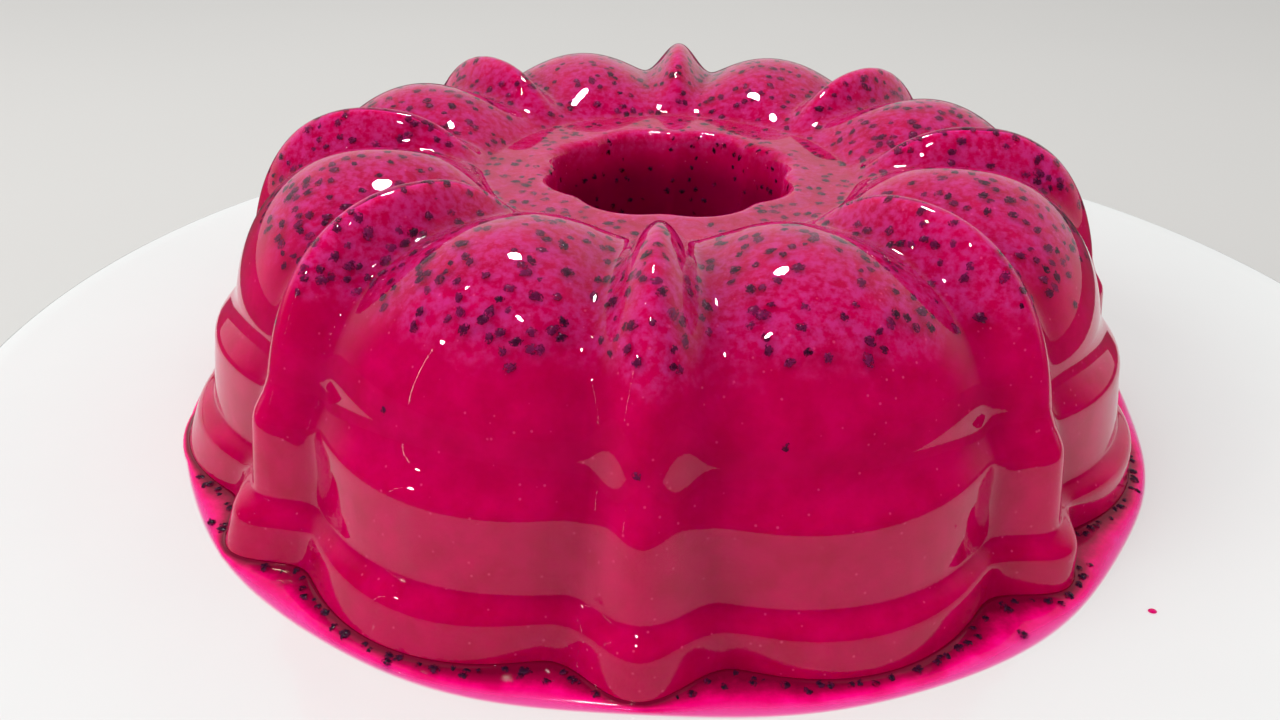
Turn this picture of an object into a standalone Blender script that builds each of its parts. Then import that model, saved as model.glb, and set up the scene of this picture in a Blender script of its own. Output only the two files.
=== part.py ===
# Fruit pudding: a fluted ring of dragon fruit jelly, turned out of its mould onto a round white
# serving plate, in a thin puddle of its own syrup. Metres, +Z up. The origin is at the centre of
# the plate's foot, and the ring's front ridge points along -Y.

import math

import bmesh
import bpy

# Where things stand
RING_OFFSET_X = -0.0100  # the ring sits a little left of the plate's centre
WELL_HEIGHT = 0.0100  # the plate's flat well above the table
CLEARANCE = 0.0003  # between two pieces that lie on each other

# The ring: eight narrow ridges with a broad domed lobe between each two
FLUTES = 8
SIDES = 144  # sections round the ring
# From a ridge's tip to the valley beside it: at the base, on the upper band, at the crest and in the
# hole, whose scallops meet in soft cusps
BASE_HALF_ANGLE = math.radians(8.3)
WAIST_HALF_ANGLE = math.radians(6.0)
CREST_HALF_ANGLE = math.radians(7.5)
HOLE_HALF_ANGLE = math.radians(1.0)
RIDGE_POINT = 2.0  # power of the cosine across a ridge: more is narrower
LOBE_EASE = 0.25  # how softly a lobe's round leaves the valley
CROWDING = 0.35  # how much closer the sections lie at the ridges than between

# Levels above the ring's underside
LOWER_TOP = 0.0090  # top of the lower band
UPPER_FOOT = 0.0112  # inner edge of the lower ledge
UPPER_TOP = 0.0270  # top of the upper band
FLUTE_FOOT = 0.0323  # inner edge of the upper ledge, where the flutes start
CROWN = 0.0525  # the flat round the hole
EDGE_REACH = 0.0016  # how far a ledge's rounding reaches to each side of its edge
RIM_REACH = 0.0026  # the same for the hole's rim

# The jelly's foot has spread a little, most on one side
FOOT_SPREAD = 0.0028
SPREAD_ANGLE = math.radians(-60)

# The radius at each level, and the curve over the crest, along each kind of section. A flute leaves
# its foot leaning in by lean degrees, and comes down on the crown at slope degrees. The pulls are
# the lengths of the curve's handles at its foot, at its crest's two sides and at the crown.
VALLEY = {
    "base": 0.1050, "lower_top": 0.1048, "upper_foot": 0.1016, "upper_top": 0.0991,
    "flute_foot": 0.0954, "crest": 0.0670, "crest_height": 0.0572, "crown": 0.0430,
    "rim": 0.0266, "hole_foot": 0.0227,
    "lean": 0.0, "slope": 33.0,
    "foot_pull": 0.0148, "outer_pull": 0.0144, "inner_pull": 0.0087, "crown_pull": 0.0089,
}
LOBE = {
    "base": 0.1113, "lower_top": 0.1102, "upper_foot": 0.1065, "upper_top": 0.1039,
    "flute_foot": 0.0986, "crest": 0.0685, "crest_height": 0.0626, "crown": 0.0425,
    "rim": 0.0287, "hole_foot": 0.0248,
    "lean": 7.0, "slope": 45.0,
    "foot_pull": 0.0143, "outer_pull": 0.0170, "inner_pull": 0.0122, "crown_pull": 0.0094,
}
RIDGE = {
    "base": 0.1122, "lower_top": 0.1115, "upper_foot": 0.1074, "upper_top": 0.1050,
    "flute_foot": 0.1013, "crest": 0.0690, "crest_height": 0.0646, "crown": 0.0430,
    "rim": 0.0266, "hole_foot": 0.0227,
    "lean": 13.0, "slope": 39.0,
    "foot_pull": 0.0182, "outer_pull": 0.0191, "inner_pull": 0.0146, "crown_pull": 0.0086,
}
FLUTE_STEPS = 9  # points from a flute's foot up to its crest
INNER_STEPS = 5  # points from the crest down to the crown
SHARP_ANGLE = math.radians(35)  # edges turning more than this keep a sharp look

# The syrup: a thin film round the ring's base, with an uneven edge
SYRUP_RADIUS = 0.1154
SYRUP_WAVES = (  # waves round the edge, their height, and the angle of a crest from the front
    (1, 0.0004, 41.0),
    (2, 0.0008, -10.0),
    (5, 0.0009, -172.0),
    (8, 0.0004, -151.0),
    (13, 0.0003, 162.0),
)
SYRUP_LEAST_WIDTH = 0.0012
SYRUP_GAP = 0.0004  # between the film and the ring's side
SYRUP_DEPTH = 0.0007
SYRUP_CLIMB = 0.0011  # how high it stands against the ring
SYRUP_EDGE = 0.0003  # thickness right at its edge
# The film's section: shares of the way from the ring to the edge, and heights
SYRUP_STATIONS = (
    (0.0, 0.0),
    (1.0, 0.0),
    (1.0, SYRUP_EDGE),
    (0.85, 0.8 * SYRUP_DEPTH),
    (0.4, SYRUP_DEPTH),
    (0.0, SYRUP_CLIMB),
)

# The plate
PLATE_RADIUS = 0.1760
PLATE_SIDES = 72
PLATE_THICKNESS = 0.0052
WELL_RADIUS = 0.1230  # where the flat well starts to rise
RIM_RISE = 0.0067  # the rim's top above the well
RIM_CURVE = 1.35  # power of the rim's rise: more is flatter at first
RIM_STEPS = 5
FOOT_OUTER_RADIUS = 0.1040
FOOT_INNER_RADIUS = 0.0970
FOOT_HEIGHT = 0.0030


def clear_scene():
    for obj in list(bpy.data.objects):
        bpy.data.objects.remove(obj, do_unlink=True)


def make_material(name, colour, roughness, coat=0.0):
    material = bpy.data.materials.new(name)
    material.use_nodes = True
    shader = material.node_tree.nodes["Principled BSDF"]
    shader.inputs["Base Color"].default_value = (*colour, 1.0)
    shader.inputs["Roughness"].default_value = roughness
    shader.inputs["Metallic"].default_value = 0.0
    shader.inputs["Coat Weight"].default_value = coat
    return material


def between(start, end, share):
    return tuple(a + (b - a) * share for a, b in zip(start, end))


def moved_towards(start, end, distance):
    return between(start, end, distance / math.dist(start, end))


def eased_corner(before, corner, after, reach, steps=2):
    """Points that round a corner off, starting and ending at reach from it."""
    first = moved_towards(corner, before, reach)
    last = moved_towards(corner, after, reach)
    points = []
    for step in range(steps + 1):
        share = step / steps
        points.append(between(between(first, corner, share), between(corner, last, share), share))
    return points


def curve_points(start, start_handle, end_handle, end, steps):
    """Points along a cubic curve, without its first."""
    points = []
    for step in range(1, steps + 1):
        t = step / steps
        weights = ((1 - t) ** 3, 3 * t * (1 - t) ** 2, 3 * t * t * (1 - t), t**3)
        ends = (start, start_handle, end_handle, end)
        points.append(tuple(sum(w * p[i] for w, p in zip(weights, ends)) for i in (0, 1)))
    return points


def ring_section(sizes):
    """Closed outline of one section through the ring, as (radius, height) pairs.

    It runs from the hole's foot outwards, up the stepped side, over the crest and down the hole.
    """
    hole_foot = (sizes["hole_foot"], 0.0)
    base = (sizes["base"], 0.0)
    lower_top = (sizes["lower_top"], LOWER_TOP)
    upper_foot = (sizes["upper_foot"], UPPER_FOOT)
    upper_top = (sizes["upper_top"], UPPER_TOP)
    flute_foot = (sizes["flute_foot"], FLUTE_FOOT)
    crest = (sizes["crest"], sizes["crest_height"])
    crown = (sizes["crown"], CROWN)
    rim = (sizes["rim"], CROWN)

    lean = math.radians(sizes["lean"])
    foot_handle = (
        flute_foot[0] - sizes["foot_pull"] * math.sin(lean),
        flute_foot[1] + sizes["foot_pull"] * math.cos(lean),
    )
    slope = math.radians(sizes["slope"])
    crown_handle = (
        crown[0] + sizes["crown_pull"] * math.cos(slope),
        crown[1] + sizes["crown_pull"] * math.sin(slope),
    )
    outer_handle = (crest[0] + sizes["outer_pull"], crest[1])
    inner_handle = (crest[0] - sizes["inner_pull"], crest[1])

    outline = [hole_foot, base]
    outline += eased_corner(base, lower_top, upper_foot, EDGE_REACH)
    outline += eased_corner(lower_top, upper_foot, upper_top, EDGE_REACH / 2, steps=1)
    outline += eased_corner(upper_foot, upper_top, flute_foot, EDGE_REACH)
    outline.append(moved_towards(flute_foot, upper_top, EDGE_REACH))
    outline += curve_points(flute_foot, foot_handle, outer_handle, crest, FLUTE_STEPS)
    outline += curve_points(crest, inner_handle, crown_handle, crown, INNER_STEPS)
    outline += eased_corner(crown, rim, hole_foot, RIM_REACH)
    return outline


def offset_from_ridge(angle):
    """The nearest ridge's angle, and the signed way from it in parts of half a flute."""
    pitch = 2 * math.pi / FLUTES
    nearest = round(angle / pitch) * pitch
    return nearest, (angle - nearest) / (pitch / 2)


def crowded(angle):
    """The angle of a section once the sections have been drawn together at the ridges."""
    nearest, offset = offset_from_ridge(angle)
    drawn_in = offset * (1 - CROWDING + CROWDING * abs(offset))
    return nearest + drawn_in * math.pi / FLUTES


def graded(value, stations):
    """Straight-line steps between (value, result) pairs, level beyond both ends."""
    first_value, first_result = stations[0]
    if value <= first_value:
        return first_result
    for next_value, next_result in stations[1:]:
        if value < next_value:
            share = (value - first_value) / (next_value - first_value)
            return first_result + (next_result - first_result) * share
        first_value, first_result = next_value, next_result
    return first_result


def ridge_half_angle(radius, height):
    """The ridges narrow from the base to the upper band, widen to the crest, and end at the hole."""
    if radius < VALLEY["crest"]:
        return graded(
            radius,
            ((VALLEY["rim"], HOLE_HALF_ANGLE), (VALLEY["crown"], CREST_HALF_ANGLE)),
        )
    return graded(
        height,
        (
            (0.0, BASE_HALF_ANGLE),
            (UPPER_TOP, WAIST_HALF_ANGLE),
            (FLUTE_FOOT, WAIST_HALF_ANGLE),
            (VALLEY["crest_height"], CREST_HALF_ANGLE),
        ),
    )


def flute_shares(angle, half_angle):
    """How far a section belongs to the ridge and to the lobe: both are 0 in a valley."""
    _, offset = offset_from_ridge(angle)
    from_ridge = abs(offset) * math.pi / FLUTES
    if from_ridge < half_angle:
        across = from_ridge / half_angle
        return math.cos(across * math.pi / 2) ** RIDGE_POINT, 0.0
    across = (math.pi / FLUTES - from_ridge) / (math.pi / FLUTES - half_angle)
    round_share = 1 - across * across
    return 0.0, round_share**2 * (1 + LOBE_EASE) / (round_share + LOBE_EASE)


def blended(valley, lobe, ridge, shares):
    ridge_share, lobe_share = shares
    return valley + lobe_share * (lobe - valley) + ridge_share * (ridge - valley)


def spread_foot(radius, height, angle):
    """The radius with the foot's spread, which fades out at the top of the lower band."""
    if height >= LOWER_TOP or radius < VALLEY["crest"]:
        return radius
    towards = (1 + math.cos(angle - SPREAD_ANGLE)) / 2
    return radius + FOOT_SPREAD * towards**2 * (1 - height / LOWER_TOP)


def placed(radius, height, angle):
    """A point round the ring's own axis, with angle 0 at the front and growing to the right."""
    return (
        RING_OFFSET_X + radius * math.sin(angle),
        -radius * math.cos(angle),
        WELL_HEIGHT + CLEARANCE + height,
    )


def spun_outline(name, outline, place):
    """A closed ring: the outline turned round, with place(station, angle) giving each point."""
    mesh_in_work = bmesh.new()
    station = mesh_in_work.verts.layers.int.new("station")
    corners = [mesh_in_work.verts.new((0.0, -radius, height)) for radius, height in outline]
    for number, corner in enumerate(corners):
        corner[station] = number
    for number, corner in enumerate(corners):
        mesh_in_work.edges.new((corners[number - 1], corner))
    bmesh.ops.spin(
        mesh_in_work,
        geom=mesh_in_work.verts[:] + mesh_in_work.edges[:],
        cent=(0.0, 0.0, 0.0),
        axis=(0.0, 0.0, 1.0),
        dvec=(0.0, 0.0, 0.0),
        angle=2 * math.pi,
        steps=SIDES,
        use_merge=True,
    )
    for corner in mesh_in_work.verts:
        angle = math.atan2(corner.co.x, -corner.co.y)
        corner.co = place(corner[station], crowded(angle))
    bmesh.ops.recalc_face_normals(mesh_in_work, faces=mesh_in_work.faces[:])
    mesh = bpy.data.meshes.new(name)
    mesh_in_work.to_mesh(mesh)
    mesh_in_work.free()
    mesh.shade_smooth()
    mesh.set_sharp_from_angle(angle=SHARP_ANGLE)
    return bpy.data.objects.new(name, mesh)


def make_pudding():
    valley, lobe, ridge = (ring_section(sizes) for sizes in (VALLEY, LOBE, RIDGE))

    def place(station, angle):
        shares = flute_shares(angle, ridge_half_angle(*valley[station]))
        radius, height = (
            blended(valley[station][i], lobe[station][i], ridge[station][i], shares)
            for i in (0, 1)
        )
        return placed(spread_foot(radius, height, angle), height, angle)

    return spun_outline("pudding", valley, place)


def ring_radius(angle, height):
    """The ring's outer radius on its lower band."""
    at_base, at_top = (
        blended(
            VALLEY[level],
            LOBE[level],
            RIDGE[level],
            flute_shares(angle, ridge_half_angle(VALLEY[level], level_height)),
        )
        for level, level_height in (("base", 0.0), ("lower_top", LOWER_TOP))
    )
    radius = at_base + (at_top - at_base) * height / LOWER_TOP
    return spread_foot(radius, height, angle)


def syrup_radius(angle):
    """The uneven outer edge of the syrup, which reaches past the ring's base everywhere."""
    radius = SYRUP_RADIUS
    for waves, height, crest_angle in SYRUP_WAVES:
        radius += height * math.cos(waves * angle - math.radians(crest_angle))
    return max(radius, ring_radius(angle, 0.0) + SYRUP_LEAST_WIDTH)


def make_syrup():
    outline = [(SYRUP_RADIUS + share * SYRUP_DEPTH, height) for share, height in SYRUP_STATIONS]

    def place(station, angle):
        share, height = SYRUP_STATIONS[station]
        inner = ring_radius(angle, height) + SYRUP_GAP
        return placed(inner + share * (syrup_radius(angle) - inner), height, angle)

    return spun_outline("syrup", outline, place)


def make_plate():
    rim_top = WELL_HEIGHT + RIM_RISE
    lip = PLATE_THICKNESS / 2
    top = [(0.0, WELL_HEIGHT), (WELL_RADIUS, WELL_HEIGHT)]
    bottom = []
    rim_start = PLATE_RADIUS - lip
    for step in range(1, RIM_STEPS + 1):
        share = step / RIM_STEPS
        radius = WELL_RADIUS + (rim_start - WELL_RADIUS) * share
        height = WELL_HEIGHT + RIM_RISE * share**RIM_CURVE
        top.append((radius, height))
        bottom.append((radius, height - PLATE_THICKNESS))
    turned_lip = []
    for degrees in (45, 0, -45):
        angle = math.radians(degrees)
        turned_lip.append((rim_start + lip * math.cos(angle), rim_top - lip + lip * math.sin(angle)))
    foot_top = WELL_HEIGHT - PLATE_THICKNESS
    foot = [
        (FOOT_OUTER_RADIUS + FOOT_HEIGHT / 2, foot_top),
        (FOOT_OUTER_RADIUS, 0.0),
        (FOOT_INNER_RADIUS, 0.0),
        (FOOT_INNER_RADIUS - FOOT_HEIGHT / 2, foot_top),
        (0.0, foot_top),
    ]
    profile = top + turned_lip + bottom[::-1] + [(WELL_RADIUS, foot_top)] + foot

    mesh = bpy.data.meshes.new("plate")
    points = [(radius, 0.0, height) for radius, height in profile]
    mesh.from_pydata(points, [(i, i + 1) for i in range(len(points) - 1)], [])
    plate = bpy.data.objects.new("plate", mesh)
    screw = plate.modifiers.new("turned", "SCREW")
    screw.axis = "Z"
    screw.angle = 2 * math.pi
    screw.steps = screw.render_steps = PLATE_SIDES
    screw.use_merge_vertices = True
    screw.merge_threshold = 0.00001
    screw.use_smooth_shade = True
    return plate


def main():
    clear_scene()
    collection = bpy.data.collections.new("fruit_pudding")
    bpy.context.scene.collection.children.link(collection)
    jelly = make_material("jelly", (0.52, 0.004, 0.10), 0.08, coat=1.0)
    syrup = make_material("syrup", (0.80, 0.01, 0.18), 0.06, coat=1.0)
    porcelain = make_material("porcelain", (0.86, 0.86, 0.85), 0.12)
    for obj, material in (
        (make_pudding(), jelly),
        (make_syrup(), syrup),
        (make_plate(), porcelain),
    ):
        obj.data.materials.append(material)
        collection.objects.link(obj)


main()
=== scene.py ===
import math

import bmesh
import bpy
import numpy as np
from mathutils import Matrix, Vector, noise
from mathutils.bvhtree import BVHTree


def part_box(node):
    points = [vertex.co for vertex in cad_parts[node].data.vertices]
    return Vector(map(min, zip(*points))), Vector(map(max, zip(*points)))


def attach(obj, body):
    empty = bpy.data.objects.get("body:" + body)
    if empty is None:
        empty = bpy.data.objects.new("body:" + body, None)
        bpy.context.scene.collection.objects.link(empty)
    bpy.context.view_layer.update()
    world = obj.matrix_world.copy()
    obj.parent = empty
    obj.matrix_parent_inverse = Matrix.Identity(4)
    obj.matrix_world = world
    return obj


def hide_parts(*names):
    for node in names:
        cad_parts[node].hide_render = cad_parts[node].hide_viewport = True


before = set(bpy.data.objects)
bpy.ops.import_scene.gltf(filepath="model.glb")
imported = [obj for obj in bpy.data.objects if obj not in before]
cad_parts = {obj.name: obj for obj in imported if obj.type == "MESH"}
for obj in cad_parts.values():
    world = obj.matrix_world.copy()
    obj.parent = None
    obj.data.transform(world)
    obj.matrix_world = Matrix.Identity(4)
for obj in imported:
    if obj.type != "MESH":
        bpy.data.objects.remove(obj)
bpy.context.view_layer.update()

# Fruit pudding: a fluted ring of dragon fruit jelly in its syrup, on a white plate.
# Lengths are metres. The ring stands on the plate's well, its front ridge towards -Y.

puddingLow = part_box("pudding")[0]
ringAxis = Vector((-0.0100, 0.0, puddingLow.z))  # left of the plate's centre, on the ring's underside
collection = bpy.context.scene.collection


# Node building

def addNode(tree, kind, values=None, **settings):
    node = tree.nodes.new(kind)
    for name, value in settings.items():
        setattr(node, name, value)
    for name, value in (values or {}).items():
        socket = node.inputs[name]
        if isinstance(value, bpy.types.NodeSocket):
            tree.links.new(value, socket)
        else:
            socket.default_value = value
    return node


def mathNode(tree, operation, first, second=0.0, clamp=False):
    node = addNode(tree, "ShaderNodeMath", {0: first, 1: second}, operation=operation, use_clamp=clamp)
    return node.outputs[0]


def rampNode(tree, fac, stops, easing="LINEAR"):
    node = addNode(tree, "ShaderNodeValToRGB", {"Fac": fac})
    ramp = node.color_ramp
    ramp.interpolation = easing
    while len(ramp.elements) < len(stops):
        ramp.elements.new(0.5)
    for element, (position, colour) in zip(ramp.elements, stops):
        element.position = position
        element.color = (*colour, 1.0) if len(colour) == 3 else colour
    return node.outputs["Color"]


def mixColours(tree, fac, first, second, blend="MIX"):
    node = addNode(tree, "ShaderNodeMix", data_type="RGBA", blend_type=blend)
    for index, value in ((0, fac), (6, first), (7, second)):
        if isinstance(value, bpy.types.NodeSocket):
            tree.links.new(value, node.inputs[index])
        elif index == 0:
            node.inputs[index].default_value = value
        else:
            node.inputs[index].default_value = (*value, 1.0)
    return node.outputs[2]


def newMaterial(name):
    material = bpy.data.materials.new(name)
    material.use_nodes = True
    return material, material.node_tree, material.node_tree.nodes["Principled BSDF"]


def newGroup(name, inputs, outputs):
    group = bpy.data.node_groups.new(name, "ShaderNodeTree")
    for label, kind, value in inputs:
        socket = group.interface.new_socket(name=label, in_out="INPUT", socket_type=kind)
        if value is not None:
            socket.default_value = value
    for label, kind in outputs:
        group.interface.new_socket(name=label, in_out="OUTPUT", socket_type=kind)
    return group, group.nodes.new("NodeGroupInput"), group.nodes.new("NodeGroupOutput")


def makePulpGroup():
    # Cloud: broad patches of thicker pulp. Fibre: fine mottling. Speck: tiny pale grains.
    group, start, end = newGroup(
        "fruitPulp",
        [("Vector", "NodeSocketVector", None), ("Cloud Scale", "NodeSocketFloat", 90.0),
         ("Fibre Scale", "NodeSocketFloat", 600.0), ("Speck Scale", "NodeSocketFloat", 900.0)],
        [("Cloud", "NodeSocketFloat"), ("Fibre", "NodeSocketFloat"), ("Speck", "NodeSocketFloat")],
    )
    where = start.outputs["Vector"]
    cloud = addNode(group, "ShaderNodeTexNoise", {
        "Vector": where, "Scale": start.outputs["Cloud Scale"], "Detail": 4.0, "Roughness": 0.62})
    fibre = addNode(group, "ShaderNodeTexNoise", {
        "Vector": where, "Scale": start.outputs["Fibre Scale"], "Detail": 4.0, "Roughness": 0.6})
    grains = addNode(group, "ShaderNodeTexVoronoi", {
        "Vector": where, "Scale": start.outputs["Speck Scale"], "Randomness": 1.0})
    speck = addNode(group, "ShaderNodeMapRange", {
        "Value": grains.outputs["Distance"], "From Min": 0.10, "From Max": 0.22,
        "To Min": 1.0, "To Max": 0.0})
    # Only one grain in several shows, by the cell's own random colour
    chosen = mathNode(group, "GREATER_THAN", grains.outputs["Color"], 0.72)
    speckShown = mathNode(group, "MULTIPLY", speck.outputs[0], chosen)
    spread = addNode(group, "ShaderNodeMapRange", {
        "Value": cloud.outputs["Fac"], "From Min": 0.34, "From Max": 0.66})
    group.links.new(spread.outputs[0], end.inputs["Cloud"])
    group.links.new(fibre.outputs["Fac"], end.inputs["Fibre"])
    group.links.new(speckShown, end.inputs["Speck"])
    return group


def makeRippleGroup():
    # The faint unevenness of a wet or glazed skin
    group, start, end = newGroup(
        "wetRipple",
        [("Vector", "NodeSocketVector", None), ("Scale", "NodeSocketFloat", 60.0),
         ("Height", "NodeSocketFloat", 0.0002), ("Strength", "NodeSocketFloat", 0.3)],
        [("Normal", "NodeSocketVector")],
    )
    waves = addNode(group, "ShaderNodeTexNoise", {
        "Vector": start.outputs["Vector"], "Scale": start.outputs["Scale"], "Detail": 1.5,
        "Roughness": 0.4})
    bump = addNode(group, "ShaderNodeBump", {
        "Height": waves.outputs["Fac"], "Distance": start.outputs["Height"],
        "Strength": start.outputs["Strength"]})
    group.links.new(bump.outputs["Normal"], end.inputs["Normal"])
    return group


def objectCoordinates(tree):
    return addNode(tree, "ShaderNodeTexCoord").outputs["Object"]


def useGroup(tree, group, **values):
    named = {name.replace("_", " "): value for name, value in values.items()}
    return addNode(tree, "ShaderNodeGroup", named | {"Vector": objectCoordinates(tree)}, node_tree=group)


# Mesh helpers

def finishPiece(name, form, material, replaced=(), sharpAngle=None):
    mesh = bpy.data.meshes.new(name)
    form.to_mesh(mesh)
    form.free()
    mesh.shade_smooth()
    if sharpAngle:
        mesh.set_sharp_from_angle(angle=math.radians(sharpAngle))
    mesh.materials.append(material)
    piece = bpy.data.objects.new(name, mesh)
    collection.objects.link(piece)
    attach(piece, "root")
    if replaced:
        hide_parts(*replaced)
    print("made", name, len(mesh.polygons), "faces")
    return piece


def between(start, end, share):
    return tuple(a + (b - a) * share for a, b in zip(start, end))


def movedTowards(start, end, distance):
    return between(start, end, distance / math.dist(start, end))


def straightPoints(start, end, steps):
    return [between(start, end, step / steps) for step in range(1, steps + 1)]


def easedCorner(before, corner, after, reach, steps):
    first = movedTowards(corner, before, reach)
    last = movedTowards(corner, after, reach)
    shares = [step / steps for step in range(steps + 1)]
    return [between(between(first, corner, s), between(corner, last, s), s) for s in shares]


def curvePoints(ends, steps):
    points = []
    for step in range(1, steps + 1):
        t = step / steps
        weights = ((1 - t) ** 3, 3 * t * (1 - t) ** 2, 3 * t * t * (1 - t), t**3)
        points.append(tuple(sum(w * p[i] for w, p in zip(weights, ends)) for i in (0, 1)))
    return points


def smoothStep(low, high, value):
    t = np.clip((value - low) / (high - low), 0.0, 1.0)
    return t * t * (3 - 2 * t)


# The ring of jelly

ring = {
    "flutes": 8,
    "sides": 432,
    # From a ridge's tip to the valley beside it, at four levels: the hole's scallops have no valley
    "baseHalfAngle": math.radians(8.3),
    "waistHalfAngle": math.radians(6.0),
    "crestHalfAngle": math.radians(7.5),
    "holeHalfAngle": math.radians(1.0),
    "ridgePoint": 2.0,
    "lobeEase": 0.25,
    "crowding": 0.35,
    "lowerTop": 0.0090,  # top of the lower band
    "upperFoot": 0.0112,
    "upperTop": 0.0270,  # top of the upper band
    "fluteFoot": 0.0323,
    "crown": 0.0525,  # the flat round the hole
    "edgeReach": 0.0016,
    "rimReach": 0.0026,
    "footSpread": 0.0028,  # how far the jelly's foot has spread, most at spreadAngle
    "spreadAngle": math.radians(-60),
    "unevenness": 0.00009,  # how far the skin wanders from its true form
    "unevenScale": 55.0,
    "evenFoot": (0.002, 0.008),  # the heights between which that sets in
}
valley = {
    "base": 0.1050, "lowerTop": 0.1048, "upperFoot": 0.1016, "upperTop": 0.0991,
    "fluteFoot": 0.0954, "crest": 0.0670, "crestHeight": 0.0572, "crown": 0.0430,
    "rim": 0.0266, "holeFoot": 0.0227, "lean": 0.0, "slope": 33.0,
    "footPull": 0.0148, "outerPull": 0.0144, "innerPull": 0.0087, "crownPull": 0.0089,
}
lobe = {
    "base": 0.1113, "lowerTop": 0.1102, "upperFoot": 0.1065, "upperTop": 0.1039,
    "fluteFoot": 0.0986, "crest": 0.0685, "crestHeight": 0.0626, "crown": 0.0425,
    "rim": 0.0287, "holeFoot": 0.0248, "lean": 7.0, "slope": 45.0,
    "footPull": 0.0143, "outerPull": 0.0170, "innerPull": 0.0122, "crownPull": 0.0094,
}
ridge = {
    "base": 0.1122, "lowerTop": 0.1115, "upperFoot": 0.1074, "upperTop": 0.1050,
    "fluteFoot": 0.1013, "crest": 0.0690, "crestHeight": 0.0646, "crown": 0.0430,
    "rim": 0.0266, "holeFoot": 0.0227, "lean": 13.0, "slope": 39.0,
    "footPull": 0.0182, "outerPull": 0.0191, "innerPull": 0.0146, "crownPull": 0.0086,
}


def ringSection(sizes, fineness):
    # From the hole's foot outwards, up the stepped side, over the crest and down the hole
    holeFoot, base = (sizes["holeFoot"], 0.0), (sizes["base"], 0.0)
    levels = ("lowerTop", "upperFoot", "upperTop", "fluteFoot")
    lowerTop, upperFoot, upperTop, fluteFoot = ((sizes[level], ring[level]) for level in levels)
    crest = (sizes["crest"], sizes["crestHeight"])
    crown, rim = (sizes["crown"], ring["crown"]), (sizes["rim"], ring["crown"])
    lean, slope = math.radians(sizes["lean"]), math.radians(sizes["slope"])
    footHandle = (fluteFoot[0] - sizes["footPull"] * math.sin(lean),
                  fluteFoot[1] + sizes["footPull"] * math.cos(lean))
    crownHandle = (crown[0] + sizes["crownPull"] * math.cos(slope),
                   crown[1] + sizes["crownPull"] * math.sin(slope))
    outerHandle = (crest[0] + sizes["outerPull"], crest[1])
    innerHandle = (crest[0] - sizes["innerPull"], crest[1])
    reach, turn = ring["edgeReach"], 2 * fineness
    corners = [
        easedCorner(base, lowerTop, upperFoot, reach, turn),
        easedCorner(lowerTop, upperFoot, upperTop, reach / 2, fineness),
        easedCorner(upperFoot, upperTop, fluteFoot, reach, turn),
        [movedTowards(fluteFoot, upperTop, reach)],
    ]
    outline = [holeFoot] + straightPoints(holeFoot, base, 3 * fineness)
    for corner, steps in zip(corners, (3, 1, 4, 1)):
        outline += straightPoints(outline[-1], corner[0], steps * fineness) + corner[1:]
    outline += curvePoints((fluteFoot, footHandle, outerHandle, crest), 11 * fineness)
    outline += curvePoints((crest, innerHandle, crownHandle, crown), 6 * fineness)
    edge = easedCorner(crown, rim, holeFoot, ring["rimReach"], turn)
    outline += straightPoints(crown, edge[0], 3 * fineness) + edge[1:]
    outline += straightPoints(edge[-1], holeFoot, 6 * fineness)[:-1]
    return outline


def ridgeOffset(angle):
    # The nearest ridge's angle, and the way from it in parts of half a flute
    pitch = 2 * math.pi / ring["flutes"]
    nearest = round(angle / pitch) * pitch
    return nearest, (angle - nearest) / (pitch / 2)


def crowdedAngle(angle):
    nearest, offset = ridgeOffset(angle)
    crowded = 1 - ring["crowding"] + ring["crowding"] * abs(offset)
    return nearest + offset * crowded * math.pi / ring["flutes"]


def ridgeWidth(radius, height):
    # The ridges narrow from the base up to the waist, widen to the crest, and end before the hole
    inside = radius < valley["crest"]
    levels = [0.0, ring["upperTop"], ring["fluteFoot"], valley["crestHeight"]]
    base, waist, crest = (ring[name] for name in ("baseHalfAngle", "waistHalfAngle", "crestHalfAngle"))
    widths = [base, waist, waist, crest]
    if inside:
        levels = [valley["rim"], valley["crown"]]
        widths = [ring["holeHalfAngle"], crest]
    return float(np.interp(radius if inside else height, levels, widths))


def fluteShares(angle, halfAngle):
    # How far a section belongs to the ridge and to the lobe: both are 0 in a valley
    half = math.pi / ring["flutes"]
    fromRidge = abs(ridgeOffset(angle)[1]) * half
    if fromRidge < halfAngle:
        return math.cos(fromRidge / halfAngle * math.pi / 2) ** ring["ridgePoint"], 0.0
    across = (half - fromRidge) / (half - halfAngle)
    rounded = 1 - across * across
    return 0.0, rounded**2 * (1 + ring["lobeEase"]) / (rounded + ring["lobeEase"])


def blended(valleyValue, lobeValue, ridgeValue, shares):
    ridgeShare, lobeShare = shares
    return (valleyValue + lobeShare * (lobeValue - valleyValue)
            + ridgeShare * (ridgeValue - valleyValue))


def spreadFoot(radius, height, angle):
    if height >= ring["lowerTop"] or radius < valley["crest"]:
        return radius
    towards = (1 + math.cos(angle - ring["spreadAngle"])) / 2
    return radius + ring["footSpread"] * towards**2 * (1 - height / ring["lowerTop"])


def placedPoint(radius, height, angle):
    return ringAxis + Vector((radius * math.sin(angle), -radius * math.cos(angle), height))


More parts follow.
